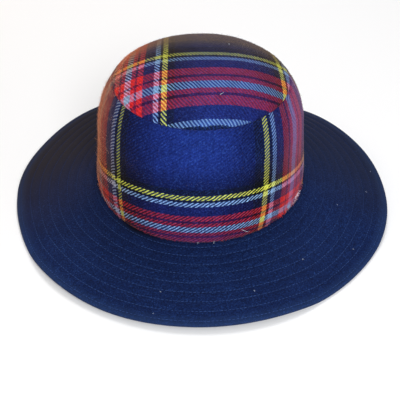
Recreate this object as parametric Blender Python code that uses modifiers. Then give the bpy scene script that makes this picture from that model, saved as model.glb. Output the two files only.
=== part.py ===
"""Sewn wool hat: a tartan crown, made of an oval tip and a side band, and a wide floppy felted brim.

Metres, +Z up. The hat lies on the plane z = 0, brim down, with its front towards -Y and its left side
towards -X. The origin is on that plane, under the middle of the brim's box.
"""

import math
from collections import namedtuple

import bmesh
import bpy
from mathutils import Vector

# Crown
HEAD_GIRTH = 0.591  # round the inside of the side band where it meets the brim
HEAD_RATIO = 1.169  # that opening's length, front to back, over its width
BAND_HEIGHT = 0.089  # side band, from the brim up to the tip seam
TIP_RISE = 0.0183  # the tip's middle above the tip seam
TIP_FULLNESS = 2.87  # how flat the tip's middle is and how steep its edge: 2 is a bowl
CLOTH = 0.002  # woven tartan wool

# Brim
BRIM_WIDTH = 0.0738  # along the felt, from the crown to the rim
JOIN_HEIGHT = 0.018  # the brim's top face at the crown, above the surface that the hat lies on
JOIN_LEAN = 0.0021  # the crown's right foot is this much higher, and its left foot this much lower
BRIM_EASE_SHARE = 0.165  # share by which the brim's fall starts steeper at the crown than a straight one
RIM_LIFT = 0.003  # how far the rim's waves stand clear of the surface
RIM_ROUND = 0.001  # rounding of the rim's two edges
FELT = 0.003  # felted wool, two layers sewn together

# Seams
SEAM_ALLOWANCE = 0.009  # what the tip and the brim turn in behind the side band
SEAM_GAP = 0.0003  # clearance between two pieces that are sewn together

# Facets
STATIONS = 64  # round every piece, so that facing walls have their corners side by side
# Where the rings lie between the two allowances, as shares of the band's height
BAND_ROW_SHARES = (0.20, 0.32, 0.44, 0.56, 0.66, 0.74, 0.81, 0.87)
# From the tip's middle to its seam
TIP_ROW_SHARES = (0.12, 0.30, 0.48, 0.64, 0.78, 0.90)
# From the crown to the rim
BRIM_ROW_SHARES = (0.0, 0.12, 0.26, 0.42, 0.58, 0.74, 0.87, 1.0)

# Side band sections: height as a share of BAND_HEIGHT, width as a share of the outline at the brim
BandSection = namedtuple("BandSection", "height width")
BAND_SECTIONS = [
    BandSection(0.00, 1.000),
    BandSection(0.12, 1.002),
    BandSection(0.30, 0.984),
    BandSection(0.50, 0.966),
    BandSection(0.70, 0.946),
    BandSection(0.85, 0.899),
    BandSection(1.00, 0.807),
]

# Waves of the rim, evenly spaced from the right side (+X) by way of the back: reach as a share of
# BRIM_WIDTH and lift as a share of RIM_LIFT. Where the lift is negative the felt would hang lower than
# the surface, so it lies flat there: the back right, the left front and the right front carry the hat.
RimWave = namedtuple("RimWave", "reach lift")
RIM_WAVES = [
    RimWave(1.005, 0.90),
    RimWave(1.005, 1.03),
    RimWave(1.002, 0.82),
    RimWave(1.001, -1.10),
    RimWave(1.000, 0.68),
    RimWave(1.001, 0.95),
    RimWave(1.002, 1.20),
    RimWave(0.992, 0.46),
    RimWave(0.986, 0.37),
    RimWave(0.979, -1.20),
    RimWave(0.989, 0.74),
    RimWave(1.002, 0.59),
    RimWave(0.998, 0.90),
    RimWave(1.000, 0.77),
    RimWave(1.018, -1.20),
    RimWave(1.017, 0.77),
]

# Worked out from the sizes above
HEAD_HALF_WIDTH = HEAD_GIRTH / math.tau / math.sqrt((1 + HEAD_RATIO**2) / 2)
HALF_WIDTH = HEAD_HALF_WIDTH + CLOTH
HALF_LENGTH = HEAD_HALF_WIDTH * HEAD_RATIO + CLOTH
SEAM_HEIGHT = JOIN_HEIGHT + BAND_HEIGHT
BEHIND_BAND = CLOTH + SEAM_GAP  # from the band's outer face to the face of what is turned in behind it
ANGLES = [math.tau * station / STATIONS for station in range(STATIONS)]


def between(start, end, slope_in, slope_out, share):
    """The value at a share of the way between two rows, with these slopes per row at either."""
    bend = 3 * (end - start) - 2 * slope_in - slope_out
    twist = slope_in + slope_out - 2 * (end - start)
    return start + share * (slope_in + share * (bend + share * twist))


def wave_at(angle, column):
    """A column of the rim table at an angle, smooth all the way round."""
    place = angle / math.tau * len(RIM_WAVES)
    row = math.floor(place)
    before, start, end, after = (
        getattr(RIM_WAVES[(row + step) % len(RIM_WAVES)], column) for step in (-1, 0, 1, 2)
    )
    return between(start, end, (end - before) / 2, (after - start) / 2, place - row)


def band_width_at(height):
    """The side band's width share at a height share, smooth through the table's uneven steps."""
    rows = BAND_SECTIONS
    step = max(i for i in range(len(rows) - 1) if rows[i].height <= height or i == 0)
    low, high = rows[step], rows[step + 1]
    before, after = rows[max(step - 1, 0)], rows[min(step + 2, len(rows) - 1)]
    span = high.height - low.height
    slope_in = (high.width - before.width) / (high.height - before.height) * span
    slope_out = (after.width - low.width) / (after.height - low.height) * span
    return between(low.width, high.width, slope_in, slope_out, (height - low.height) / span)


def join_height_at(angle):
    """The brim's top face where the crown stands on it."""
    return JOIN_HEIGHT + JOIN_LEAN * math.cos(angle)


def band_point(height, angle):
    """A point of the side band's outer face."""
    width = band_width_at(height)
    foot = join_height_at(angle) + SEAM_GAP
    return Vector(
        (
            HALF_WIDTH * width * math.cos(angle),
            HALF_LENGTH * width * math.sin(angle),
            foot + (SEAM_HEIGHT - foot) * height,
        )
    )


def behind_band(height, angle, depth):
    """The point this far behind the side band's outer face, square to it."""
    step = 0.01
    low, high = max(height - step, 0.0), min(height + step, 1.0)
    up = band_point(high, angle) - band_point(low, angle)
    along = band_point(height, angle + step) - band_point(height, angle - step)
    return band_point(height, angle) - along.cross(up).normalized() * depth


def allowance_rows():
    """Height shares of the rings that are turned in behind the band, as measured from either seam."""
    share = SEAM_ALLOWANCE / BAND_HEIGHT
    return 0.0, share / 2, share


def band_rows():
    """Height shares of the band's rings. Both allowances' rings are among them, so walls run parallel."""
    foot = allowance_rows()
    head = [1 - share for share in reversed(foot)]
    return [*foot, *(row for row in BAND_ROW_SHARES if foot[-1] < row < head[0]), *head]


def tip_point(share, angle):
    """A point of the tip's upper face, at a share of the tip seam's half width from the middle."""
    seam = band_point(1.0, angle)
    height = SEAM_HEIGHT + TIP_RISE * (1 - share**TIP_FULLNESS)
    return Vector((seam.x * share, seam.y * share, height))


def brim_under_point(share, angle):
    """A point of the brim's under face, from the crown's foot at share 0 to the rim at share 1."""
    start = Vector((HALF_WIDTH * math.cos(angle), HALF_LENGTH * math.sin(angle)))
    outward = Vector((math.cos(angle) / HALF_WIDTH, math.sin(angle) / HALF_LENGTH)).normalized()
    top = join_height_at(angle) - FELT
    fall = top - RIM_LIFT * wave_at(angle, "lift")
    run = math.sqrt((BRIM_WIDTH * wave_at(angle, "reach")) ** 2 - fall**2)
    place = start + outward * run * share
    drop = fall * share * (1 + BRIM_EASE_SHARE * (1 - share))
    return Vector((place.x, place.y, max(top - drop, 0.0)))


def ring(point_at, row, *settings):
    """Points all the way round at one row of a piece."""
    return [point_at(row, angle, *settings) for angle in ANGLES]


def loft(name, rings, pole=None):
    """An open sheet through closed rings: it faces outwards where they climb, up where they close in."""
    mesh = bpy.data.meshes.new(name)
    sheet = bmesh.new()
    loops = [[sheet.verts.new(point) for point in points] for points in rings]
    for lower, upper in zip(loops, loops[1:]):
        for station in range(STATIONS):
            after = (station + 1) % STATIONS
            sheet.faces.new((lower[station], lower[after], upper[after], upper[station]))
    if pole is not None:
        middle = sheet.verts.new(pole)
        for station in range(STATIONS):
            sheet.faces.new((loops[-1][station], loops[-1][(station + 1) % STATIONS], middle))
    sheet.to_mesh(mesh)
    sheet.free()
    mesh.shade_smooth()
    return bpy.data.objects.new(name, mesh)


def thicken(piece, thickness, side):
    """Gives a sheet its thickness: side -1 keeps the sheet as the outer face, and 1 as the inner face."""
    wall = piece.modifiers.new("Wall", "SOLIDIFY")
    wall.thickness = thickness
    wall.offset = side
    wall.use_even_offset = True


def round_rim(piece):
    """Rounds both edges of a sheet's first ring once the sheet has its thickness."""
    mesh = piece.data
    weights = mesh.attributes.new("bevel_weight_edge", "FLOAT", "EDGE")
    for edge in mesh.edges:
        if max(edge.vertices) < STATIONS:
            weights.data[edge.index].value = 1.0
    rounding = piece.modifiers.new("Rim", "BEVEL")
    rounding.limit_method = "WEIGHT"
    rounding.width = RIM_ROUND
    rounding.segments = 2


def finish(piece, colour, roughness):
    """Gives a piece its own wool material."""
    wool = bpy.data.materials.new(piece.name)
    wool.use_nodes = True
    shader = wool.node_tree.nodes["Principled BSDF"]
    shader.inputs["Base Color"].default_value = (*colour, 1.0)
    shader.inputs["Roughness"].default_value = roughness
    shader.inputs["Metallic"].default_value = 0.0
    piece.data.materials.append(wool)


def make_side_band():
    """The crown's wall: one strip of tartan, upright at the brim and rounding in towards the tip seam."""
    band = loft("crown_side_band", [ring(band_point, row) for row in band_rows()])
    thicken(band, CLOTH, -1)
    finish(band, (0.020, 0.055, 0.300), 0.90)
    return band


def make_tip():
    """The crown's domed oval top, whose edge is turned down behind the side band's upper edge."""
    turned = [ring(behind_band, 1 - share, BEHIND_BAND) for share in reversed(allowance_rows())]
    edge_share = 1 - BEHIND_BAND / HALF_WIDTH
    shares = [edge_share, *reversed(TIP_ROW_SHARES)]
    tip = loft("crown_tip", turned + [ring(tip_point, share) for share in shares], tip_point(0.0, 0.0))
    thicken(tip, CLOTH, -1)
    finish(tip, (0.330, 0.030, 0.080), 0.90)
    return tip


def make_brim():
    """The brim: felt that spreads from the crown's foot, its inner edge turned up behind the side band."""
    collar = [ring(behind_band, share, BEHIND_BAND + FELT) for share in allowance_rows()]
    for point, angle in zip(collar[0], ANGLES):
        point.z = join_height_at(angle) - FELT
    felt = [ring(brim_under_point, share) for share in reversed(BRIM_ROW_SHARES)]
    brim = loft("brim", felt + collar)
    thicken(brim, FELT, 1)
    round_rim(brim)
    finish(brim, (0.012, 0.024, 0.085), 0.95)
    return brim


def stand_on_origin(pieces, widest):
    """Slides the pieces sideways together, until the middle of the widest one's box is over the origin."""
    bpy.context.view_layer.update()
    solid = widest.evaluated_get(bpy.context.evaluated_depsgraph_get())
    middle = sum((Vector(corner) for corner in solid.bound_box), Vector()) / len(solid.bound_box)
    for piece in pieces:
        piece.location = (-middle.x, -middle.y, 0.0)


def main():
    for old in list(bpy.data.objects):
        bpy.data.objects.remove(old)
    hat = bpy.data.collections.new("wool_hat")
    bpy.context.scene.collection.children.link(hat)
    brim = make_brim()
    pieces = [brim, make_side_band(), make_tip()]
    for piece in pieces:
        hat.objects.link(piece)
    stand_on_origin(pieces, brim)


main()
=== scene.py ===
# %% [markdown]
# This lesson dresses a sewn wool hat: an oval tip and a side band of brushed tartan twill, and a wide
# brim of navy felted wool with nine rows of topstitching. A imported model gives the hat's exact size and
# place. It comes in first as a fixed frame, and every piece made here lies on it and rides with it.
# All lengths are in metres, +Z is up, and the hat's front faces -Y.

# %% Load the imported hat
import math

import bpy
import numpy as np
from mathutils import Matrix, Vector


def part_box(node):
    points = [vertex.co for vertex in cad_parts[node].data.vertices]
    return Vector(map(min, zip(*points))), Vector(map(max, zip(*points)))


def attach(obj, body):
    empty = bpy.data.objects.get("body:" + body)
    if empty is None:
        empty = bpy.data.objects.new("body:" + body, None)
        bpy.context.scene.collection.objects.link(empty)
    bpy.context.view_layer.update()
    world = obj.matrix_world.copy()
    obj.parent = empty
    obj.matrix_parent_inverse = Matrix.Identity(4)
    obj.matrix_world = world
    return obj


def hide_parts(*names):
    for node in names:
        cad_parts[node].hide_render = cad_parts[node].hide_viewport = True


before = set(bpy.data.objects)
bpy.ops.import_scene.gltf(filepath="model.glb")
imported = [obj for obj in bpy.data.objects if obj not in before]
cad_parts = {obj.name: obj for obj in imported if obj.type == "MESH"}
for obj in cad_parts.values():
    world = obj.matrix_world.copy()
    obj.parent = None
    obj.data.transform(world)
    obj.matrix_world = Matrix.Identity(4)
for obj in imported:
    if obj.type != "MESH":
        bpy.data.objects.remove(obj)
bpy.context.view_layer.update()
band_low, band_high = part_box("crown_side_band")
CROWN_X = (band_low.x + band_high.x) / 2
CROWN_Y = (band_low.y + band_high.y) / 2
print("nodes:", sorted(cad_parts), "crown's middle at", round(CROWN_X, 5), round(CROWN_Y, 5))

# %% [markdown]
# The hat's shape is a handful of measures that a hatter would take: the head opening, how high the
# crown stands, how far the brim reaches and how thick each cloth is. The same measures made the packed
# model, so a finer surface from them lies exactly on its solids. Its own facets are too coarse for a
# close look, and they have no seam rolls.

# %% Measures of the hat
TAU = math.tau
BACK, LEFT, FRONT = math.pi / 2, math.pi, 1.5 * math.pi
CLOTH, FELT, GAP = 0.002, 0.003, 0.0003
HEAD_GIRTH, HEAD_LENGTH_TO_WIDTH = 0.591, 1.169
HALF_WIDTH = HEAD_GIRTH / TAU / math.sqrt((1 + HEAD_LENGTH_TO_WIDTH**2) / 2) + CLOTH
HALF_LENGTH = (HALF_WIDTH - CLOTH) * HEAD_LENGTH_TO_WIDTH + CLOTH
BAND_HEIGHT = 0.089
JOIN_HEIGHT = 0.018
JOIN_LEAN = 0.0021
SEAM_HEIGHT = JOIN_HEIGHT + BAND_HEIGHT
TIP_RISE = 0.0183
TIP_FULLNESS = 2.87
ALLOWANCE = 0.009
BRIM_WIDTH = 0.0738
BRIM_EASE = 0.165
RIM_LIFT = 0.003
print("opening", round(2 * HALF_WIDTH, 4), "x", round(2 * HALF_LENGTH, 4), "m outside the band")

# %% Side band widths
# Each row: height as a share of the band, width as a share of the outline at the brim.
BAND_ROWS = np.array([
    (0.00, 1.000), (0.12, 1.002), (0.30, 0.984), (0.50, 0.966), (0.70, 0.946), (0.85, 0.899), (1.00, 0.807),
])


def between(start, end, slope_in, slope_out, share):
    """A smooth value on the way from one row of a table to the next."""
    bend = 3 * (end - start) - 2 * slope_in - slope_out
    twist = slope_in + slope_out - 2 * (end - start)
    return start + share * (slope_in + share * (bend + share * twist))


def band_width(height):
    """The band's width share at each height share."""
    at, width = BAND_ROWS.T
    low = np.clip(np.searchsorted(at, height, side="right") - 1, 0, len(at) - 2)
    before, high, after = np.maximum(low - 1, 0), low + 1, np.minimum(low + 2, len(at) - 1)
    span = at[high] - at[low]
    slope_in = (width[high] - width[before]) / (at[high] - at[before]) * span
    slope_out = (width[after] - width[low]) / (at[after] - at[low]) * span
    return between(width[low], width[high], slope_in, slope_out, (height - at[low]) / span)


print("band width at mid height:", round(float(band_width(np.array(0.5))) * 2 * HALF_WIDTH, 4))

# %% Rim waves
# Sixteen places round the rim, from the right side by way of the back: how far the felt reaches, and
# how high it waves. A negative height is felt that the surface below holds up, so it lies flat there.
RIM_REACH = np.array([1.005, 1.005, 1.002, 1.001, 1.000, 1.001, 1.002, 0.992,
                      0.986, 0.979, 0.989, 1.002, 0.998, 1.000, 1.018, 1.017])
RIM_WAVE = np.array([0.90, 1.03, 0.82, -1.10, 0.68, 0.95, 1.20, 0.46,
                     0.37, -1.20, 0.74, 0.59, 0.90, 0.77, -1.20, 0.77])


def rim_value(table, angle):
    """A column of the rim's table at an angle, smooth all the way round."""
    place = angle / TAU * len(table)
    row = np.floor(place).astype(int)
    before, start, end, after = (table[(row + step) % len(table)] for step in (-1, 0, 1, 2))
    return between(start, end, (end - before) / 2, (after - start) / 2, place - row)


print("rim waves from", RIM_WAVE.min() * RIM_LIFT * 1000, "to", RIM_WAVE.max() * RIM_LIFT * 1000, "mm")

# %% [markdown]
# After a few number helpers, three functions give any point of the three cloths, a whole grid in one
# call. Real cloth is never quite even, so a sum of a few waves round the hat, the same on every run,
# pushes each surface in and out by a few tenths of a millimetre.

# %% Number helpers
def stack(*parts):
    return np.stack(np.broadcast_arrays(*parts), axis=-1)


def unit(vectors):
    return vectors / np.linalg.norm(vectors, axis=-1, keepdims=True)


def rising(value, start, reach):
    """0 up to a start, 1 from a reach beyond it."""
    return np.clip((value - start) / reach, 0, 1)


def falling(value, end, reach):
    """1 up to a reach before an end, 0 from the end on."""
    return np.clip((end - value) / reach, 0, 1)


def hump(value, middle, width):
    """1 at the middle, and soon 0 on both sides."""
    return np.exp(-((value - middle) / width) ** 2)


def waves(angle, counts, size, seed):
    """A sum of waves round the hat, the same each run, with this size in metres."""
    rng = np.random.default_rng(seed)
    total = np.zeros(np.shape(angle))
    for count in counts:
        total = total + rng.uniform(0.4, 1.0) * np.cos(count * angle + rng.uniform(0, TAU))
    return total * size / math.sqrt(len(counts))


print("a hump at its middle and one width away:", np.round(hump(np.array([0.0, 1.0]), 0.0, 1.0), 3))

# %% Crown surfaces
def join_height(angle):
    """The brim's top face where the crown stands on it."""
    return JOIN_HEIGHT + JOIN_LEAN * np.cos(angle)


def band_point(height, angle):
    """A point of the side band's outer face."""
    width, foot = band_width(height), join_height(angle) + GAP
    return stack(HALF_WIDTH * width * np.cos(angle), HALF_LENGTH * width * np.sin(angle),
                 foot + (SEAM_HEIGHT - foot) * height)


def band_normal(height, angle):
    step = 0.01
    up = band_point(np.minimum(height + step, 1.0), angle) - band_point(np.maximum(height - step, 0.0), angle)
    along = band_point(height, angle + step) - band_point(height, angle - step)
    return unit(np.cross(along, up))


def tip_point(share, angle):
    """A point of the tip's upper face, at a share of the way from its middle to the seam."""
    seam = band_point(np.ones_like(angle), angle)
    return stack(seam[..., 0] * share, seam[..., 1] * share,
                 SEAM_HEIGHT + TIP_RISE * (1 - share**TIP_FULLNESS))


def square_to(surface, step):
    """The directions that stand square on a surface of (share, angle)."""
    def normal(share, angle):
        out = surface(share + step, angle) - surface(share - step, angle)
        along = surface(share, angle + step) - surface(share, angle - step)
        return unit(np.cross(out, along))
    return normal


tip_normal = square_to(tip_point, 0.01)
print("tip's middle at", np.round(tip_point(np.array(0.0), np.array(0.0)), 4))

# %% Brim surface
SOFT_TOUCH = 0.0006


def brim_under(share, angle):
    """A point of the brim's under face, from the crown at share 0 to the rim at share 1."""
    outward = unit(stack(np.cos(angle) / HALF_WIDTH, np.sin(angle) / HALF_LENGTH))
    top = join_height(angle) - FELT
    fall = top - RIM_LIFT * rim_value(RIM_WAVE, angle)
    run = np.sqrt((BRIM_WIDTH * rim_value(RIM_REACH, angle)) ** 2 - fall**2)
    height = top - fall * share * (1 + BRIM_EASE * (1 - share))
    return stack(HALF_WIDTH * np.cos(angle) + outward[..., 0] * run * share,
                 HALF_LENGTH * np.sin(angle) + outward[..., 1] * run * share,
                 (height + np.sqrt(height**2 + SOFT_TOUCH**2)) / 2)


brim_normal = square_to(brim_under, 0.004)
print("rim at the front:", np.round(brim_under(np.array(1.0), np.array(FRONT)), 4))

# %% [markdown]
# The camera stands where the photographer stood. Its place, its lens and its slight roll were found by
# fitting the hat's outlines to the photograph's, so they are plain numbers here.
# Blender's camera looks along its own -Z with +Y up, so three unit vectors make its rotation matrix.

# %% Camera
FRAME_PIXELS = 400
FOCAL_PIXELS = 706.55
ELEVATION, AZIMUTH, ROLL, DISTANCE = 0.6314, 0.0043, 0.0076, 0.57941
target = Vector((CROWN_X, CROWN_Y - 0.04942, 0.01999))
back = Vector((math.sin(AZIMUTH) * math.cos(ELEVATION), -math.cos(AZIMUTH) * math.cos(ELEVATION),
               math.sin(ELEVATION)))
right = Vector((math.cos(AZIMUTH), math.sin(AZIMUTH), 0.0))
upward = back.cross(right)
camera = bpy.data.objects.new("camera", bpy.data.cameras.new("camera"))
camera.data.sensor_width = 36.0
camera.data.lens = camera.data.sensor_width * FOCAL_PIXELS / FRAME_PIXELS
camera.data.clip_start = 0.01
across = right * math.cos(ROLL) + upward * math.sin(ROLL)
rolled = Matrix((across, upward * math.cos(ROLL) - right * math.sin(ROLL), back)).transposed()
camera.matrix_world = Matrix.Translation(target + back * DISTANCE) @ rolled.to_4x4()
bpy.context.scene.collection.objects.link(camera)
bpy.context.scene.camera = camera
print("camera", np.round(camera.matrix_world.translation, 4), "lens", round(camera.data.lens, 2), "mm")

# %% [markdown]
# Soft studio light comes from wide area lamps. The main one stands in front, above the camera and quite
# near, so that the light falls off towards the back of the hat. A warm one low behind the left side
# catches the nap of the wool, and one high behind draws a soft shadow under the front brim. A white
# world fills the rest. The floor is plain and pale.

# %% Light
LAMPS = [
    ("front_lamp", (0.20, -0.90, 0.66), (0.0, -0.03, 0.07), 0.45, 8.0, (0.98, 0.99, 1.0)),
    ("warm_rear_lamp", (-0.95, 0.70, 0.30), (0.0, 0.0, 0.10), 0.5, 2.6, (1.0, 0.78, 0.60)),
    ("high_rear_lamp", (0.15, 0.80, 1.30), (0.0, 0.0, 0.05), 0.7, 9.0, (0.98, 0.98, 1.0)),
]
for name, place, aim, size, power, colour in LAMPS:
    lamp = bpy.data.objects.new(name, bpy.data.lights.new(name, "AREA"))
    lamp.data.shape = "DISK"
    lamp.data.size = size
    lamp.data.energy = power
    lamp.data.color = colour
    lamp.location = place
    lamp.rotation_euler = (Vector(aim) - Vector(place)).to_track_quat("-Z", "Y").to_euler()
    bpy.context.scene.collection.objects.link(lamp)
world = bpy.data.worlds.new("white_room")
world.use_nodes = True
background = world.node_tree.nodes["Background"]
background.inputs["Color"].default_value = (1.0, 1.0, 1.0, 1.0)
background.inputs["Strength"].default_value = 0.44
bpy.context.scene.world = world
bpy.context.scene.view_settings.view_transform = "Standard"
print("lamps:", [name for name, *_ in LAMPS])

# %% Piece and material helpers
def new_piece(name, points, faces, material, counts=None):
    """An object from points and faces, with the thread counts at each corner of each face, if given."""
    mesh = bpy.data.meshes.new(name)
    mesh.from_pydata(points.reshape(-1, 3).tolist(), [], faces)
    if counts is not None:
        mesh.uv_layers.new(name="threads").data.foreach_set("uv", counts.astype(np.float32).ravel())
    mesh.materials.append(material)
    mesh.shade_smooth()
    piece = bpy.data.objects.new(name, mesh)
    bpy.context.scene.collection.objects.link(piece)
    return piece


def new_material(name, roughness, gloss=0.5):
    """A material with nodes, and its shader."""
    material = bpy.data.materials.new(name)
    material.use_nodes = True
    shader = material.node_tree.nodes["Principled BSDF"]
    shader.inputs["Roughness"].default_value = roughness
    shader.inputs["Specular IOR Level"].default_value = gloss
    return material, shader


MIDDLE = np.array([CROWN_X, CROWN_Y, 0.0])
print("pieces are worked out round", np.round(MIDDLE, 5))

# %% Floor
FLOOR_CORNERS = np.array([(-6.0, -6.0, 0.0), (6.0, -6.0, 0.0), (6.0, 6.0, 0.0), (-6.0, 6.0, 0.0)])
pale_floor, floor_shader = new_material("pale_floor", 0.9)
floor_shader.inputs["Base Color"].default_value = (0.93, 0.93, 0.93, 1.0)
floor = new_piece("floor", FLOOR_CORNERS, [(0, 1, 2, 3)], pale_floor)
print("floor made")

# %% [markdown]
# A woven pattern is arithmetic, so the materials are written as Python arithmetic. The class below wraps
# one output socket of a node. Adding, multiplying or comparing two wrapped sockets adds the Math node
# that does it, and make() adds any other node with its settings and inputs in one call. Short methods
# stand for the nodes that come up again and again.

# %% Sockets as numbers
class Wire:
    """One output of a node. Arithmetic on it adds Math nodes to the same material."""

    def __init__(self, socket):
        self.socket = socket

    @staticmethod
    def make(tree, kind, settings=None, sockets=None, output=0):
        """Adds a node of a kind, sets its settings, then its sockets, and gives one of its outputs."""
        node = tree.nodes.new(kind)
        for name, value in (settings or {}).items():
            if name == "stops":
                ramp = node.color_ramp
                while len(ramp.elements) < len(value):
                    ramp.elements.new(1.0)
                for element, (place, colour) in zip(ramp.elements, value):
                    element.position, element.color = place, (*colour, 1.0)
            elif name == "interpolation":
                node.color_ramp.interpolation = value
            else:
                setattr(node, name, value)
        for name, value in (sockets or {}).items():
            if isinstance(value, Wire):
                tree.links.new(value.socket, node.inputs[name])
            else:
                node.inputs[name].default_value = value
        return Wire(node.outputs[output])

    def node(self, kind, *rest):
        return Wire.make(self.socket.id_data, kind, *rest)

    def math(self, operation, *others):
        return self.node("ShaderNodeMath", {"operation": operation}, dict(enumerate((self, *others))))

    def __add__(self, other):
        return self.math("ADD", other)

    def __mul__(self, other):
        return self.math("MULTIPLY", other)

    def __sub__(self, other):
        return self.math("SUBTRACT", other)

    def __rsub__(self, other):
        return self.math("MULTIPLY_ADD", -1.0, other)

    def __truediv__(self, other):
        return self.math("DIVIDE", other)

    def __lt__(self, other):
        return self.math("LESS_THAN", other)

    __radd__, __rmul__ = __add__, __mul__

    def limited(self, low, high):
        return self.math("MAXIMUM", low).math("MINIMUM", high)

    def rising(self, start, reach, low=0.0, high=1.0):
        """0 up to a start, 1 from a reach beyond it, or kept between two other limits."""
        return ((self - start) / reach).limited(low, high)

    def falling(self, end, reach, low=0.0):
        """1 up to a reach before an end, 0 from the end on, or no less than a limit."""
        return ((end - self) / reach).limited(low, 1.0)

    def vector(self, operation, *others, output="Vector"):
        sockets = dict(enumerate((self, *others)))
        return self.node("ShaderNodeVectorMath", {"operation": operation}, sockets, output)

    def scaled(self, factor):
        return self.node("ShaderNodeVectorMath", {"operation": "SCALE"}, {0: self, "Scale": factor})

    def weighed(self, weights):
        """One number from a colour: its three parts times these weights, added up."""
        return self.vector("DOT_PRODUCT", weights, output="Value")

    def axis(self, letter):
        return self.node("ShaderNodeSeparateXYZ", None, {0: self}, letter)

    def noise(self, size, detail=2.0, output="Fac", **more):
        sockets = {"Vector": self, "Scale": size, "Detail": detail, **more}
        return self.node("ShaderNodeTexNoise", None, sockets, output)

    def raised(self, power):
        return self.node("ShaderNodeGamma", None, {"Color": self, "Gamma": power})

    def toward(self, colour, share):
        """This colour mixed with a share of another, through a Mix node."""
        colour = colour if isinstance(colour, Wire) else (*colour, 1.0)
        return self.node("ShaderNodeMix", {"data_type": "RGBA"}, {"Factor": share, 6: self, 7: colour}, 2)

    def bump(self, distance, strength):
        return self.node("ShaderNodeBump", None, {"Height": self, "Distance": distance, "Strength": strength})

    def into(self, shader, name):
        self.socket.id_data.links.new(self.socket, shader.inputs[name])


def hat_place(material):
    """Where a point of the hat lies, in the hat's own coordinates."""
    return Wire.make(material.node_tree, "ShaderNodeTexCoord", output="Object")


def thread_counts(place):
    return place.node("ShaderNodeUVMap", {"uv_map": "threads"})


def linear(red, green, blue):
    """A colour as a picture stores it, 0 to 255, turned into the linear light that shaders use."""
    return tuple(((c / 255 + 0.055) / 1.055) ** 2.4 if c > 10 else c / 255 / 12.92 for c in (red, green, blue))


print("one reflected form:", Wire.__rsub__.__name__, "| mid grey is", round(linear(128, 128, 128)[0], 3))

# %% [markdown]
# Tartan is a 2/2 twill. Every thread passes over two threads and under two, and each row starts one
# thread further on, which draws the slanting ribs. The colours follow a list, the sett, read forwards
# and backwards, nearly the same across and along. Where two threads of one colour cross, the colour is
# pure, and elsewhere the two share the ribs.
# This wool is brushed, so fibres of one thread veil the next. Two dyes mixed as fibres look darker than
# two lights mixed, so colours are kept as fourth roots, mixed so, and raised to the fourth power at the end.

# %% Dyes
FIBRE_POWER = 4.0


def dye(red, green, blue):
    """A wool dye, given as a picture stores it and kept as the fourth root of its linear light."""
    return tuple(value ** (1 / FIBRE_POWER) for value in linear(red, green, blue))


BLACK = dye(5, 9, 18)
YELLOW = dye(210, 212, 78)
PALE_BLUE = dye(136, 172, 216)
NAVY = dye(22, 26, 86)
RED = dye(238, 37, 42)
DARK = dye(100, 14, 52)
DEEP_BLUE = dye(6, 14, 53)
ROYAL = dye(21, 38, 113)
WARM_RIM_TAN = dye(200, 90, 42)
WARM_SHEEN_UMBER = dye(116, 88, 54)
ROSE = dye(196, 80, 136)
CRIMSON = dye(148, 34, 92)
PURPLE = dye(98, 52, 128)
PAINTED_HIGHLIGHT_BLUE = dye(46, 96, 160)
FLECK = dye(74, 114, 168)
WHITISH = dye(208, 188, 196)
WARM_NAP = (0.90, 0.58, 0.40)
print("royal blue as fibres:", np.round(ROYAL, 3))

# %% The sett
# Each pair is a count of threads, from the middle of the pale blue line that has red on both sides, and
# the colour from there on. A thread takes the colour at its middle, so an edge may be a broken number.
def sett(navy, pale_blue, black):
    return [(0, PALE_BLUE), (4, RED), (8.6, DARK), (11.5, RED), (navy, NAVY), (pale_blue, PALE_BLUE),
            (38, BLACK), (41, YELLOW), (black, BLACK)]


SETT = {"across": sett(19, 31.6, 47), "along": sett(21, 32.7, 46)}
YELLOW_AT = 43.5
HALF_REPEAT = {"across": 113.0, "along": 108.5}
# Beside the yellow line the black ground lightens into the royal blue field a few threads at a time.
FADE_START, FADE_END, FADE_STEPS = 55, 83, 14
for stripes in SETT.values():
    for step in range(FADE_STEPS + 1):
        share = step / FADE_STEPS
        stripes.append((FADE_START + (FADE_END - FADE_START) * share,
                        tuple(deep + (royal - deep) * share for deep, royal in zip(DEEP_BLUE, ROYAL))))
print({name: len(stripes) for name, stripes in SETT.items()}, "stripes in half a repeat")


# %% Thread colours and wool
def thread_colour(count, direction):
    """The colour of the thread that a count falls on."""
    half_repeat = HALF_REPEAT[direction]
    place = (count.math("FLOOR") + 0.5).math("PINGPONG", half_repeat) / half_repeat
    stops = [(start / half_repeat, colour) for start, colour in SETT[direction]]
    return place.node("ShaderNodeValToRGB", {"stops": stops, "interpolation": "CONSTANT"}, {"Fac": place})


def new_wool(name, sheen, tint=WARM_NAP):
    """Matt wool, with a nap that shines softly at the edges: the material, its shader and the place."""
    material, shader = new_material(name, 0.95, 0.10)
    shader.inputs["Sheen Weight"].default_value = sheen
    shader.inputs["Sheen Roughness"].default_value = 0.22
    shader.inputs["Sheen Tint"].default_value = (*tint, 1.0)
    return material, shader, hat_place(material)


print("a repeat is", {name: 2 * half for name, half in HALF_REPEAT.items()}, "threads")

# %% [markdown]
# The weave itself: the whole part of the two counts says which thread is on top, and the rest of each
# count says where on the round thread a point lies. A smooth wave along the ribs is mixed with that
# stepped answer, because brushing has closed the little steps. The top of the front gets a painted
# highlight, and the nap lies in streaks down the side. Last, other colours are mixed over parts of the
# crown: tan on the left as painted warm rim light, umber behind as painted warm sheen, rose on the right
# and purple at the front foot.

# %% Weave
TWILL, OVER_TWO = 4.0, 1.5
QUARTER_TURN = math.pi / 2
# How fast a yarn passes from dark to bright, and how much darker the threads along are than those across.
EDGE = 1 / 12
ALONG_SHADE = 0.955
# Weights that say how bright a yarn looks. Blue adds little, so royal blue counts as dark.
BRIGHT = (0.35, 0.75, 0.25)
BLUE_PART = (0.0, 0.0, 1.0)


def run(count):
    """Where a count is in the twill's repeat of four threads."""
    return count.math("FLOORED_MODULO", TWILL)


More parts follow.
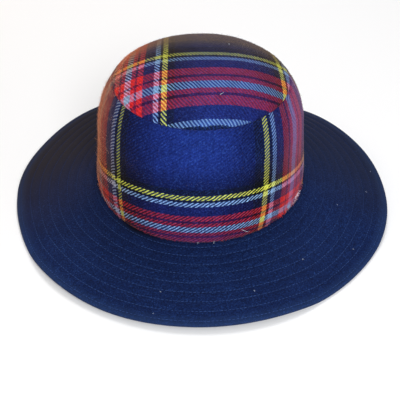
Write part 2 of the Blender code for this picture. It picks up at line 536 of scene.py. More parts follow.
def arch(count, other):
    """How high a round thread stands at its count, and how it dips where it goes under the others."""
    dip = (run(count.math("FLOOR") + other) * QUARTER_TURN).math("SINE").math("ABSOLUTE")
    return (count.math("FRACT") * math.pi).math("SINE") * dip


def shaken(counts, place, size, detail, by):
    """Counts moved both ways by noise, at most by this many threads."""
    noise = place.noise(size, detail, "Color")
    return counts.vector("ADD", noise.vector("MULTIPLY_ADD", (2 * by, 2 * by, 0.0), (-by, -by, 0.0)))


print("threads in the twill's repeat:", int(TWILL))

# %% Tartan material
def tartan(name, highlight_place, highlight_reach, streaks, crisp_along, shares, depth, crimson, left_side,
           back_share):
    material, shader, place = new_wool(name, 0.17)
    # Threads wander a little, and fibres blur where one colour ends.
    moved = shaken(thread_counts(place), place, 160.0, 1.0, 0.65)
    frayed = shaken(moved, place, 1500.0, 2.0, 1.1)
    across, along = moved.axis("X"), moved.axis("Y")
    colour_across = thread_colour(frayed.axis("X"), "across")
    colour_along = thread_colour(frayed.axis("Y"), "along").scaled(ALONG_SHADE)
    over = run(across.math("FLOOR") + along.math("FLOOR")) < OVER_TWO
    rib = ((across + along - OVER_TWO) * QUARTER_TURN).math("COSINE")
    fibres, fluff = place.noise(2600.0), place.noise(720.0)
    # The steps show best where a bright yarn crosses a dark one. Two yarns that are alike hardly show them.
    bright_across, bright_along = (colour.weighed(BRIGHT) for colour in (colour_across, colour_along))
    apart = bright_across - bright_along
    across_leads, along_leads = apart.math("MAXIMUM", 0.0), (0 - apart).math("MAXIMUM", 0.0)
    brighter, darker = bright_across.math("MAXIMUM", bright_along), bright_across.math("MINIMUM", bright_along)
    one_bright, both_bright = brighter.rising(0.57, EDGE), darker.rising(0.57, EDGE)
    both_pale, red_only = darker.rising(0.90, EDGE), brighter.falling(0.88, EDGE)
    crisp = (apart.math("ABSOLUTE") * 0.75 + (brighter - 0.5) * 0.30 + along_leads * crisp_along
             + 0.12) * (1 - both_bright * 0.5)
    stroke = over * 0.31 + rib * 0.35 + fibres * 0.38 + fluff * 0.66 - 0.71
    # Pale blue gives way to yellow where the two cross.
    bluer = colour_along.weighed(BLUE_PART) - colour_across.weighed(BLUE_PART)
    top = (0.5 + stroke * crisp + across_leads * shares[0] - along_leads * shares[1]
           + both_pale * bluer - both_bright * apart * 0.40)
    cloth = colour_along.toward(colour_across, top)
    # Two bright yarns add their light instead: yellow and red look orange, pale blue and red look pink.
    glare = colour_along.raised(FIBRE_POWER).toward(colour_across.raised(FIBRE_POWER), top)
    cloth = cloth.toward(glare.raised(1 / FIBRE_POWER), both_bright)
    # Red over a dark yarn is fluffed up to a crimson that hides part of the strokes.
    cloth = cloth.toward(CRIMSON, one_bright * (1 - both_bright) * red_only * crimson)
    # The pale yarn is whiter on the left.
    x, y, z = place.axis("X") - CROWN_X, place.axis("Y") - CROWN_Y, place.axis("Z")
    whitish = cloth.weighed(BLUE_PART).rising(0.72, 1 / 6) * x.falling(-0.048, 0.018)
    cloth = cloth.toward(WHITISH, whitish * (0.50 + back_share * 0.25))
    # A thread is round, and dips where it goes under.
    relief = (over * arch(across, along) + (1 - over) * arch(along, across)).math("POWER", 0.5)
    cloudy = place.noise(45.0, 3.0)
    streak = place.vector("MULTIPLY", streaks).noise(1.0)
    # Painted highlight: the top of the front is lightened, fading out within a reach of one place there.
    painted_highlight = (1 - place.vector("DISTANCE", highlight_place, output="Value") / highlight_reach).math("MAXIMUM", 0.0)
    # The brighter yarn stands proud where it is on top, and lies in shade where it goes under.
    proud = stroke * one_bright * (apart * 3.0).limited(-0.4, 0.4)
    # Painted shade: the band is darker towards its left side.
    painted_left_shade = x.falling(-0.030, 0.034) * (1 - back_share)
    # The cloth's light: random mottling of the wool, with painted shade of the round threads, their ribs and
    # the proud yarn, painted shade on the left and a painted highlight at the top of the front.
    light = (relief * 0.10 + proud * depth + rib * 0.036 + fibres * 0.12 + fluff * 0.44
             + both_bright * (0.040 - red_only * 0.040) + both_pale * (0.040 - back_share * 0.085)
             - painted_left_shade * 0.085 + cloudy * 0.12 + streak * 0.08 + painted_highlight * (0.03 + streak * 0.16) + 0.495)
    # Rose is mixed over the right side and purple over the foot at the front. Umber over the back is painted
    # warm sheen, and tan over the left side is painted warm rim light, thinner towards the foot and the back.
    right = x.rising(0.064, 0.008) * y.falling(0.030, 0.030) * (1 - back_share)
    low = z.falling(0.030, 0.007) * (1 - x.math("ABSOLUTE") / 0.075).math("MAXIMUM", 0.0)
    turn, start, reach = left_side
    left = (y * turn - x).rising(start, reach) * z.rising(0.014, 0.040, low=0.25)
    left = left * y.falling(0.035 + 0.050 * back_share, 0.050, low=0.10)
    veil = fibres * 0.40 + fluff * 0.50 + 0.02
    cloth = cloth.scaled(light)
    for colour, share in ((PAINTED_HIGHLIGHT_BLUE, painted_highlight * fluff * 0.30),
                          (FLECK, (fluff * 0.5 + fibres * 0.5).rising(0.55, 0.25, high=0.5)),
                          (ROSE, right * (fibres * 0.30 + fluff * 0.55)),
                          (PURPLE, low * (fluff * 0.70 + 0.05)),
                          (WARM_SHEEN_UMBER, y.rising(0.008, 0.024) * veil * (0.35 + 0.95 * back_share)),
                          (WARM_RIM_TAN, left * (veil + left * 0.26))):
        cloth = cloth.toward(colour, share)
    cloth.raised(FIBRE_POWER).into(shader, "Base Color")
    (relief + rib * 0.35 + fibres * 0.7).bump(0.00025, 0.75).into(shader, "Normal")
    return material


tip_cloth = tartan("tip_tartan_twill", (CROWN_X, CROWN_Y - 0.075, 0.112), 0.07, (170.0, 45.0, 170.0),
                   crisp_along=0.05, shares=(0.02, -0.02), depth=0.32, crimson=0.36,
                   left_side=(0.5, 0.045, 0.030), back_share=1.0)
band_cloth = tartan("band_tartan_twill", (CROWN_X, CROWN_Y - 0.088, 0.095), 0.06, (260.0, 260.0, 30.0),
                    crisp_along=0.45, shares=(0.17, -0.11), depth=0.42, crimson=0.16,
                    left_side=(0.1, 0.057, 0.021), back_share=0.0)
print("nodes in the tartan:", len(tip_cloth.node_tree.nodes))

# %% [markdown]
# Felted wool has no weave. Its colour is the mix of many dyed fibres, so at arm's length it is dark navy
# with a fine speckle of lighter blue, and larger cloudy patches where hands have brushed the nap.
# Noise at four sizes gives that, and the finer ones as a bump give the matt, slightly hairy face.

# %% Felt material
def felt(name):
    material, shader, place = new_wool(name, 0.09)
    fine, grain = place.noise(1900.0), place.noise(980.0, 3.0)
    hairs, clouds = place.noise(330.0, 3.0, Distortion=2.2), place.noise(26.0, 3.0)
    amount = fine * 0.34 + grain * 0.62 + hairs * 0.28 + clouds * 0.12 - 0.18
    navies = [(0.34, linear(7, 18, 45)), (0.50, linear(13, 29, 69)), (0.60, linear(20, 41, 89)),
              (0.72, linear(46, 76, 132))]
    colour = amount.node("ShaderNodeValToRGB", {"stops": navies}, {"Fac": amount})
    # Behind the crown the felt is painted greyer, as painted shade with a warm painted sheen: browner on the
    # left, bluer on the right.
    x, y = place.axis("X") - CROWN_X, place.axis("Y") - CROWN_Y
    painted_shade_back_left, painted_shade_back_right = (y * 0.75 - x * 0.65).rising(0.018, 0.090), (y * 0.80 + x * 0.55).rising(0.018, 0.075)
    colour = colour.toward(linear(39, 35, 38), painted_shade_back_left * (0.45 + grain * 0.9))
    colour = colour.toward(linear(32, 35, 46), painted_shade_back_right * (0.30 + grain * 0.5))
    # Painted shadow darkens the felt in the crease where the crown stands, nearly black at the front left.
    around = thread_counts(place)
    outward, angle = around.axis("X"), around.axis("Y")
    painted_crease_shadow = (1 - outward / 0.070).math("MAXIMUM", 0.0)
    # Painted light: the felt is lighter towards the rim.
    painted_rim_light = ((outward - 0.88) / 0.12).math("MAXIMUM", 0.0)
    deepest_painted_shadow = (1 - (angle - 4.10).math("ABSOLUTE") / 0.34).math("MAXIMUM", 0.0)
    colour = colour.toward(linear(58, 84, 128), painted_rim_light * 0.20)
    colour = colour.toward(linear(6, 8, 16), painted_crease_shadow * (0.15 + deepest_painted_shadow * 0.80))
    colour.into(shader, "Base Color")
    (fine * 0.7 + grain + hairs * 0.6).bump(0.0003, 0.7).into(shader, "Normal")
    return material


navy_felt = felt("navy_wool_felt")
print("nodes in the felt:", len(navy_felt.node_tree.nodes))

# %% [markdown]
# Each cloth is a sheet with a real thickness: a grid of points that runs round the hat one way, and from
# one edge over the face, round the fold and back along the inside the other way. The helper below joins
# such a grid into faces. It also lays the thread counts on it as a UV layer, corner by corner, so that
# the pattern may break at the back seam, as it does on the real band.

# %% Sheet helpers
def sheet_mesh(name, grid, threads, material, poles=None, pole_counts=None):
    """A piece from a grid of points, rows by stations round the hat. threads has one station more. The last
    row joins the first, unless two poles are given: the points that close the first row and the last."""
    rows, stations = grid.shape[:2]
    low = np.arange(rows - 1 if poles else rows)[:, None]
    high = (low + 1) % rows
    here = np.arange(stations)
    there, plus = (here + 1) % stations, here + 1
    corners = ((low, here), (low, there), (high, there), (high, here))
    faces = np.stack([row * stations + station for row, station in corners], -1).reshape(-1, 4).tolist()
    corners = ((low, here), (low, plus), (high, plus), (high, here))
    counts = [np.stack([threads[corner] for corner in corners], 2).reshape(-1, 2)]
    for pole, row, turn in ((0, 0, -1), (1, rows - 1, 1)) if poles else ():
        middle = np.full(stations, rows * stations + pole)
        fan = np.stack([row * stations + here, row * stations + there, middle], 1)
        fan_counts = np.stack([threads[row, here], threads[row, plus], np.tile(pole_counts, (stations, 1))], 1)
        faces += fan[:, ::turn].tolist()
        counts.append(fan_counts[:, ::turn].reshape(-1, 2))
    points = np.concatenate([grid.reshape(-1, 3), np.array(poles or np.zeros((0, 3)), float)])
    return new_piece(name, points + MIDDLE, faces, material, np.concatenate(counts))


def triangles(piece):
    piece.data.calc_loop_triangles()
    return len(piece.data.loop_triangles)


def rounded(profile, times=2):
    """Rounds the bends of an open profile by cutting its corners, all stations at once."""
    for _ in range(times):
        early = profile[:-1] * 0.75 + profile[1:] * 0.25
        late = profile[:-1] * 0.25 + profile[1:] * 0.75
        cut = np.empty((2 * len(early), *profile.shape[1:]))
        cut[0::2], cut[1::2] = early, late
        profile = np.concatenate([profile[:1], cut[1:-1], profile[-1:]])
    return profile


def lengths(grid, axis):
    """Distances along a grid's rows or stations, from its start."""
    steps = np.linalg.norm(np.diff(grid, axis=axis), axis=-1)
    return np.concatenate([np.zeros_like(np.take(steps, [0], axis)), np.cumsum(steps, axis)], axis)


def wrapped(table, turn=0.0):
    """A table with its first station once more at the end."""
    return np.concatenate([table, table[:, :1] + turn], axis=1)


print("helpers ready")

# %% [markdown]
# The side band is one curved strip, joined at the back. Cut flat, such a strip is a piece of a wide
# ring, so the tartan runs level across the front, dips towards the sides and meets at a slant behind.
# The distance round from the front and the height along the cloth become a place on that flat ring, and
# the place gives the two thread counts. The strip's edges fold softly inwards at both seams, and the
# back seam is a shallow groove.

# %% Side band shape
SEAM_STEPS, BESIDE_SEAM = np.array([0.0, 0.3, 0.7, 1.2, 2.0, 3.2]) / 100, 0.045
BAND_STATIONS = 420
even_angles = np.linspace(BACK + BESIDE_SEAM, BACK + TAU - BESIDE_SEAM, BAND_STATIONS)
band_angles = np.unique(np.concatenate([BACK + SEAM_STEPS, even_angles, BACK + TAU - SEAM_STEPS[1:]]))
face_heights = np.concatenate([np.linspace(0.0, 0.08, 7), np.linspace(0.1, 0.9, 44),
                               np.linspace(0.915, 0.97, 5), [0.978, 0.985, 0.990, 0.995, 1.0]])
heights, angles = np.meshgrid(face_heights, band_angles, indexing="ij")
face = band_point(heights, angles)
outward = band_normal(heights, angles)
fullness = np.sin(math.pi * heights) ** 0.7
uneven = fullness * waves(angles, (2, 3, 5, 7), 0.0005, 11) * (0.6 + 0.4 * np.cos(3 * heights))
uneven = uneven + fullness * waves(angles + 2.2 * heights, (9, 13, 17), 0.00018, 12)
pucker = hump(heights, 1, 0.05) + hump(heights, 0, 0.05)
uneven = uneven + pucker * waves(angles, (31, 43, 59), 0.00016, 13)
from_back = np.minimum(angles - BACK, BACK + TAU - angles) * HALF_LENGTH
groove = 0.0009 * hump(from_back, 0, 0.0011)
# The folds at the two seams round the face off over the last millimetre or so.
rise = (1 - heights) * BAND_HEIGHT
drawn_in = 0.0012 * hump(rise, 0, 0.0011) + 0.0009 * np.exp(-heights * BAND_HEIGHT / 0.0008)
face = face + outward * (uneven - groove - drawn_in)[..., None]
face[..., 2] -= 0.0004 * hump(rise, 0, 0.0007)
inside = band_point(heights * 0.985, angles) - outward * CLOTH
band_grid = np.concatenate([face, inside[::-1]])
print("band rows and stations:", band_grid.shape[:2])

# %% Side band threads
ACROSS_MM, ALONG_MM = 0.619, 0.981
RING_RADIUS = 0.600
round_front = lengths(wrapped(face), 1)
closed_heights, closed_angles = wrapped(heights), wrapped(angles, TAU)
front = [np.interp(FRONT, *row) for row in zip(closed_angles, round_front)]
round_front = round_front - np.array(front)[:, None]
up_face = np.broadcast_to(np.median(lengths(wrapped(face), 0), axis=1)[:, None], round_front.shape)
# The cloth is eased in at both seams, pulled a little tighter round the two sides, and here and there
# drawn along by hand. Each place is given in metres round from the front, and to the left is negative.
eased = 1 + 0.060 * rising(closed_heights, 0.6, 0.4) ** 2 + 0.080 * falling(closed_heights, 0.45, 0.45) ** 2
side = rising(np.abs(round_front), 0.058, 0.034)
flat_round = round_front * eased + np.sign(round_front) * 0.005 * side * side * (3 - 2 * side)
flat_round = flat_round + 0.004 * hump(round_front, -0.0828, 0.0058)
flat_round = flat_round + 0.0021 * falling(round_front, -0.083, 0.010)
flat_round = flat_round - 0.0009 * hump(round_front, 0.062, 0.005)
flat_round = flat_round * (1 - 0.016 * rising(closed_heights, 0.73, 0.15))
flat_round = flat_round - 0.0018 * rising(round_front, 0.075, 0.015) * rising(closed_heights, 0.6, 0.15)
reach = RING_RADIUS - up_face
flat_across = reach * np.sin(flat_round / reach)
flat_up = RING_RADIUS - reach * np.cos(flat_round / reach)
RIGHT_YELLOW, LOW_PALE_LINE = 0.0539, 0.01295
band_threads = np.stack([(flat_up - LOW_PALE_LINE) * 1000 / ACROSS_MM,
                         -((flat_across - RIGHT_YELLOW) * 1000 / ALONG_MM - YELLOW_AT)], -1)
band_threads = np.concatenate([band_threads, band_threads[::-1]])
side_band = sheet_mesh("side_band", band_grid, band_threads, band_cloth)
print("side band:", triangles(side_band), "triangles, girth", round(float(np.ptp(round_front[0])), 4),
      "m, flat in a box of", np.round([np.ptp(flat_across), np.ptp(flat_up)], 4), "m")

# %% [markdown]
# The tip is an oval of the same cloth, blocked to a low dome. Its edge rolls over and goes down behind
# the side band, where the seam holds it. Its threads run along and across the hat, turned by a few
# degrees, which is how the real one was cut.

# %% Tip shape
TIP_STATIONS = 420
tip_angles = np.linspace(0.0, TAU, TIP_STATIONS, endpoint=False)
shares = np.concatenate([np.linspace(0.02, 0.90, 46), np.linspace(0.915, 0.972, 6)])
share_grid, angle_grid = np.meshgrid(shares, tip_angles, indexing="ij")
dome = tip_point(share_grid, angle_grid)
dents = (np.cos(5.1 * share_grid * np.cos(angle_grid) + 0.6)
         * np.cos(4.3 * share_grid * np.sin(angle_grid) - 0.4))
edge = rising(share_grid, 0.8, 0.2)
dome[..., 2] += 0.0004 * dents * (1 - edge) + edge**2 * waves(angle_grid, (29, 41, 53), 0.00014, 21)


def behind(height, depth, angles=tip_angles):
    """A ring this far behind the side band's outer face."""
    level = np.full_like(angles, height)
    return band_point(level, angles) - band_normal(level, angles) * depth


lap = ALLOWANCE / BAND_HEIGHT
level = np.ones_like(tip_angles)
turn = np.stack([dome[-1], tip_point(level * 0.988, tip_angles) - [0, 0, 0.00015],
                 tip_point(level * 0.990, tip_angles) - [0, 0, 0.0012],
                 behind(0.968, CLOTH + GAP), behind(1 - lap / 2, CLOTH + GAP), behind(1 - lap, CLOTH + GAP)])
outer = np.concatenate([dome[:-1], rounded(turn, 3)])
normals = unit(np.cross(np.gradient(outer, axis=0), np.roll(outer, -1, 1) - np.roll(outer, 1, 1)))
normals *= np.sign(normals[:1, :, 2:3])
inner = outer - normals * CLOTH
tip_grid = np.concatenate([outer, inner[::-1]])
print("tip rows and stations:", tip_grid.shape[:2], "highest", round(float(tip_grid[..., 2].max()), 4))

# %% Tip threads
# Blocking the dome pulls straight threads into slight curves. Each row gives the counts for 1, x, y,
# x*x, x*y and y*y, where x and y are the flattened distances from the middle in units of 80 mm.
PULLED = np.array([(86.00, 117.76, 5.10, -0.76, 4.51, 2.02), (41.05, -5.97, 74.69, -1.64, 0.93, -0.53)])
FLAT_UNIT = 0.080
EDGE_LINE = -38
middle = tip_point(np.array(0.0), np.array(0.0))
along_dome = lengths(np.concatenate([np.broadcast_to(middle, (1, *outer.shape[1:])), outer]), 0)[1:]
flat = wrapped(unit(outer[..., :2]) * along_dome[..., None] / FLAT_UNIT)


def tip_counts(x, y):
    terms = stack(1.0, x, y, x * x, x * y, y * y)
    return np.stack([terms @ row for row in PULLED], -1)


tip_threads = tip_counts(flat[..., 0], flat[..., 1])
# The very edge at the front is eased in, so that the black beside the pale line ends it.
tip_threads[..., 1] += np.clip(EDGE_LINE - tip_threads[..., 1], 0, None) * 0.6
tip_threads = np.concatenate([tip_threads, tip_threads[::-1]])
poles = ((0, 0, middle[2] + 0.0003), (0, 0, middle[2] - CLOTH))
tip = sheet_mesh("tip", tip_grid, tip_threads, tip_cloth, poles, tip_counts(np.array(0.0), np.array(0.0)))
print("tip:", triangles(tip), "triangles")

# %% [markdown]
# The brim is two layers of felt sewn together by nine rings of stitches. Each ring pulls the felt into
# a shallow channel, and between two rings it swells a little. The grid therefore has rows close together
# at each channel and far apart between them, which costs much less than an even, fine grid.
# At the rim the two layers meet in a rounded edge, and at the crown the felt turns up inside.

# %% Stitch rows and channels
FIRST_ROW, ROW_STEP, ROW_COUNT = 0.0028, 0.0084, 9
RIM_START = 0.985
row_places = (FIRST_ROW + ROW_STEP * np.arange(ROW_COUNT)) / BRIM_WIDTH


def channel(share):
    """How deep the stitches pull the felt in, in metres, with a little swelling between the rows."""
    near = np.min(np.abs(np.subtract.outer(share, row_places)), axis=-1) * BRIM_WIDTH
    return 0.00034 * hump(near, 0, 0.0008) - 0.00010 * np.sin(rising(near, 0, 0.0042) * math.pi / 2) ** 2


spread = np.array([-1.3, -0.6, 0.0, 0.6, 1.3]) / 1000 / BRIM_WIDTH
between_rows = row_places[:-1] + ROW_STEP / 2 / BRIM_WIDTH
brim_shares = np.unique(np.clip(np.concatenate([
    [0.0, 0.012], np.add.outer(row_places, spread).ravel(), between_rows, [0.975, RIM_START]]), 0, 1))
brim_shares = brim_shares[brim_shares <= RIM_START]
print(len(brim_shares), "rows from crown to rim")

# %% Brim shape
BRIM_STATIONS = 384
brim_angles = np.linspace(0.0, TAU, BRIM_STATIONS, endpoint=False)
share_grid, angle_grid = np.meshgrid(brim_shares, brim_angles, indexing="ij")
under = brim_under(share_grid, angle_grid)
upright = brim_normal(share_grid, angle_grid)
pull = channel(share_grid)
ripple = share_grid * waves(angle_grid + 1.3 * share_grid, (11, 17, 23), 0.00012, 31)
top_face = under + upright * (FELT - pull + ripple)[..., None]
under_face = under + upright * np.maximum(pull, 0.0)[..., None]
rim_level = np.full_like(brim_angles, RIM_START)
rim_middle, rim_up = brim_under(rim_level, brim_angles), brim_normal(rim_level, brim_angles)
to_rim = brim_under(np.full_like(brim_angles, 1.0), brim_angles) - rim_middle
rim_out, rim_width = unit(to_rim), np.linalg.norm(to_rim, axis=-1)
turns = np.radians([-72, -50, -28, -10, 0, 10, 28, 50, 72])
seam_line = hump(turns, 0, 0.12) * 0.00035
rim = np.stack([rim_middle + rim_up * (FELT / 2 + math.sin(turn) * FELT / 2)
                + rim_out * ((math.cos(turn) * rim_width) - dent)[:, None]
                for turn, dent in zip(turns, seam_line)])
foot, half_up, top = (behind(height, CLOTH + GAP, brim_angles) for height in (0.0, lap / 2, lap))
heel, inner_half, inner_top = (behind(height, CLOTH + GAP + FELT, brim_angles)
                               for height in (0.0, lap / 2, lap))
foot[:, 2] = join_height(brim_angles)
heel[:, 2] = join_height(brim_angles) - FELT
outer_collar = rounded(np.stack([top_face[0], foot, half_up, top]))
inner_collar = rounded(np.stack([inner_top, inner_half, heel, under_face[0]]))
brim_grid = np.concatenate([under_face[1:], rim, top_face[:0:-1], outer_collar, inner_collar])
print("brim rows and stations:", brim_grid.shape[:2])

# %% Make the brim
# On the felt the two counts are the share of the way to the rim, and the angle round the hat.
brim_rows = np.concatenate([brim_shares[1:], np.ones(len(rim)), brim_shares[:0:-1],
                            np.zeros(len(outer_collar) + len(inner_collar))])
brim_places = stack(brim_rows[:, None], np.append(brim_angles, TAU))
brim_piece = sheet_mesh("felt_brim", brim_grid, brim_places, navy_felt)
print("brim:", triangles(brim_piece), "triangles")

# %% [markdown]
# A line of lockstitch is a row of short bars of thread, each dipping into the felt at both ends. One bar
# is a small tapered tube of a few sides. Thousands of them are copied along the rows with array maths:
# every bar gets its middle, its direction and the felt's own upward direction.

# %% Tube helpers
def tube_faces(rings, sides):
    """The four-sided faces between neighbouring rings of points."""
    return np.array([(k * sides + s, (k + 1) * sides + s, (k + 1) * sides + (s + 1) % sides,
                      k * sides + (s + 1) % sides) for k in range(rings - 1) for s in range(sides)])


def copied(faces, copies, points):
    """Faces once for each copy of a form that has this many points."""
    return (faces[None] + np.arange(copies)[:, None, None] * points).reshape(-1, faces.shape[1]).tolist()


STITCH_PITCH, STITCH_LENGTH, THREAD_RADIUS = 0.0029, 0.0023, 0.00021
BAR_SIDES = 5
# Along the bar, how thick it is and how high it lies there, in thread radii.
BAR_RINGS = [(-0.5, 0.55, -0.9), (-0.22, 1.0, 0.15), (0.22, 1.0, 0.15), (0.5, 0.55, -0.9)]
bar_points = np.array([
    (t * STITCH_LENGTH, r * THREAD_RADIUS * math.cos(a), (r * math.sin(a) + lift) * THREAD_RADIUS)
    for t, r, lift in BAR_RINGS for a in np.arange(BAR_SIDES) / BAR_SIDES * TAU])
print("points in a stitch:", len(bar_points))

# %% Stitch helper
def stitch_bars(name, lines, material, seed):
    """Bars of thread along closed lines. Each line is (points, upward vectors) round the hat."""
    rng = np.random.default_rng(seed)
    bars = []
    for points, upward in lines:
        loop, loop_up = (np.concatenate([table, table[:1]]) for table in (points, upward))
        along = lengths(loop, 0)

        def at_places(table, places):
            return np.stack([np.interp(places, along, column) for column in table.T], -1)

        count = int(along[-1] / STITCH_PITCH)
        at = (np.arange(count) + rng.uniform(0, 1)) * along[-1] / count + rng.normal(0, 0.00012, count)
        at = np.mod(at, along[-1])
        place = at_places(loop, at)
        forward = unit(at_places(loop, np.mod(at + 0.0005, along[-1])) - place + 1e-9)
        up = unit(at_places(loop_up, at))
        across = unit(np.cross(up, forward))
        forward = unit(np.cross(across, up) + across * rng.normal(0.06, 0.05, count)[:, None])
        across = np.cross(up, forward)
        bars.append(place[:, None] + bar_points[None, :, :1] * forward[:, None]
                    + bar_points[None, :, 1:2] * across[:, None] + bar_points[None, :, 2:] * up[:, None])
    points = np.concatenate(bars)
    faces = copied(tube_faces(len(BAR_RINGS), BAR_SIDES), len(points), len(bar_points))
    piece = new_piece(name, points + MIDDLE, faces, material)
    print(name, len(points), "stitches,", triangles(piece), "triangles")
    return piece


# %% Thread material
def thread(name, colour, light_colour):
    material, shader = new_material(name, 0.9, 0.15)
    place = hat_place(material)
    uneven = {"Fac": place.noise(700.0)}
    tint = place.node("ShaderNodeValToRGB", {"stops": [(0.35, colour), (0.65, light_colour)]}, uneven)
    # Away from the front the thread takes on the felt's colour.
    away_from_front = place.axis("Y").rising(-0.090, 0.070, high=0.85)
    tint.toward(linear(22, 40, 82), away_from_front).into(shader, "Base Color")
    return material


blue_thread = thread("blue_topstitch_thread", linear(34, 56, 104), linear(56, 84, 138))
print("thread made")

# %% Topstitching
stitch_angles = np.linspace(0.0, TAU, 720, endpoint=False)
top_lines, under_lines = [], []
for place in row_places:
    level = np.full_like(stitch_angles, place)
    base, up = brim_under(level, stitch_angles), brim_normal(level, stitch_angles)
    pull = channel(level)[:, None]
    top_lines.append((base + up * (FELT - pull + THREAD_RADIUS * 0.3), up))
    under_lines.append((base + up * (pull - THREAD_RADIUS * 0.3), -up))
top_stitches = stitch_bars("brim_topstitching", top_lines, blue_thread, 41)
under_stitches = stitch_bars("brim_under_stitching", under_lines, blue_thread, 42)

# %% [markdown]
# Brushed wool is never clean at its outline: thousands of loose fibres stand off it and make a thin soft
# halo. Hair curves can't be exported as a mesh, so each fibre is a curved three-sided thorn. All of them
# are worked out at once with arrays: a root on the cloth, a direction that mostly lies along it, a lift
# and a curl. A fibre has the colour of its thread, so its root's thread counts become its UV coordinates.

# %% Roots of loose fibres
def scattered(grid, counts, count, row_of, station, side):
    """Roots on a grid of points, with the directions up, round and off the cloth, and the thread counts."""
    rows, stations = grid.shape[:2]
    row = np.clip(row_of(rng.uniform(0, 1, count)), 0, rows - 1.001)
    if station is None:
        station = rng.uniform(0, stations, count)
    low, left = row.astype(int), station.astype(int) % stations
    high, right = low + 1, (left + 1) % stations
    up, on = (row - low)[:, None], (station - np.floor(station))[:, None]

    def mix(table, right_column):
        bottom = table[low, left] * (1 - on) + table[low, right_column] * on
        return bottom * (1 - up) + (table[high, left] * (1 - on) + table[high, right_column] * on) * up

    uphill = unit(grid[high, left] - grid[low, left])
    sideways = unit(grid[low, right] - grid[low, left])
    normal = unit(np.cross(sideways, uphill)) * side
    return mix(grid, right), uphill, sideways, normal, mix(counts, left + 1)


def band_roots(count, start, span, at=None):
    """Roots on the side band, over a span of its height shares, all round or at given angles."""
    station = None if at is None else np.interp(at, band_angles, np.arange(len(band_angles)))
    return scattered(face, band_threads, count, lambda t: np.interp(start + span * t, face_heights,
                                                                    np.arange(len(face_heights))), station, 1)


def tip_roots(count, start, span, at=None):
    """Roots on the tip, over a span of squared shares, all round or at given angles."""
    station = None if at is None else at / TAU * TIP_STATIONS
    places = np.concatenate([shares, [0.995]])
    return scattered(outer, tip_threads, count, lambda t: np.interp(np.sqrt(start + span * t) * 0.99, places,
                                                                    np.arange(len(places))), station, -1)


print("rows for roots:", len(face_heights), "on the band,", len(shares), "on the tip")

# %% Loose fibre helpers
# A thorn has three rings of three points and a tip: along it, and how thick it is there.
THORN = ((0.0, 1.0), (0.35, 0.9), (0.72, 0.65), (1.0, 0.0))
ROOT_DEPTH = 0.00012
thorn_sides = tube_faces(3, 3)[:, [0, 3, 2, 1]]
thorn_tips = np.array([(6, 7, 9), (7, 8, 9), (8, 6, 9)])


def fibre_mesh(name, root, forward, normal, counts, length, radius, lift, curl, material):
    """Curved thorns. Every array has one entry for each fibre."""
    side = unit(np.cross(normal, forward))
    rings = []
    for t, thick in THORN:
        rise = lift * (1.7 * t - 0.9 * t * t) - ROOT_DEPTH
        centre = root + forward * (length * t)[:, None] + normal * rise[:, None]
        centre = centre + side * (curl * t * t)[:, None]
        for turn in ((0.0, 1 / 3, 2 / 3) if thick else (0.0,)):
            edge = side * math.cos(turn * TAU) + normal * math.sin(turn * TAU)
            rings.append(centre + edge * (radius * thick)[:, None])
    faces = copied(thorn_sides, len(root), len(rings)) + copied(thorn_tips, len(root), len(rings))
    corners = np.concatenate([np.repeat(counts, part.size, axis=0) for part in (thorn_sides, thorn_tips)])
    piece = new_piece(name, np.stack(rings, 1) + MIDDLE, faces, material, corners)
    print(name, len(root), "fibres,", triangles(piece), "triangles")
    return piece


def lying_fibres(name, roots, heading, long, thick, lift, curl, material):
    """Thorns that lie along the cloth at given headings. Their other measures are drawn at random."""
    root, uphill, sideways, normal, counts = roots
    count, heading = len(root), heading[:, None]
    return fibre_mesh(name, root, uphill * np.sin(heading) + sideways * np.cos(heading), normal, counts,
                      rng.uniform(*long, count), rng.uniform(*thick, count), rng.gamma(2.0, lift, count),
                      rng.normal(0, curl, count), material)


# %% Fibre material
def fibre_wool(name, paler, tint=(176, 138, 112), tan=0.5, nap=WARM_NAP):
    """The colour of the two threads at the root, mixed with a tint, as thin fibres are."""
    material, shader, place = new_wool(name, 0.25, nap)
    counts = thread_counts(place)
    across, along = thread_colour(counts.axis("X"), "across"), thread_colour(counts.axis("Y"), "along")
    wool = across.toward(along, place.noise(900.0) * 1.6 - 0.3).toward(dye(*tint), paler)
    # Fibres on the left take a share of painted warm rim light.
    wool = wool.toward(WARM_RIM_TAN, (place.axis("X") - CROWN_X).falling(-0.064, 0.016) * tan)
    wool.raised(FIBRE_POWER).into(shader, "Base Color")
    return material


loose_wool = fibre_wool("loose_wool_fibres", 0.22)
yarn_wool = fibre_wool("yarn_ends", 0.12, (220, 190, 190))
warm_rim_wool = fibre_wool("tan_wool_fibres", 0.90, (255, 196, 152), 0.15)
pale_yarn = fibre_wool("pale_yarn_ends", 0.94, (238, 236, 252))
pale_lint = fibre_wool("pale_lint", 0.97, (228, 240, 255), 0.0, (0.85, 0.92, 1.0))
print("fibre materials made")

# %% Nap
rng = np.random.default_rng(51)
NAP_RADIUS = (0.000022, 0.000040)
BAND_NAP, TIP_NAP = 6500, 4200
band_nap = lying_fibres("side_band_nap", band_roots(BAND_NAP, 0.01, 0.985), rng.uniform(0, TAU, BAND_NAP),
                        (0.0012, 0.0038), NAP_RADIUS, 0.00035, 0.0007, loose_wool)
tip_nap = lying_fibres("tip_nap", tip_roots(TIP_NAP, 0.0, 1.0), rng.uniform(0, TAU, TIP_NAP),
                       (0.0012, 0.0036), NAP_RADIUS, 0.00030, 0.0007, loose_wool)

# %% [markdown]
# The side band's foot was cut through the cloth and sewn down, so short ends of yarn stick out over the
# brim all the way round, and longest at the right, where the cloth was cut across its threads. They are
# the same thorns as the nap, only thicker, and each one keeps the colour of its own thread.

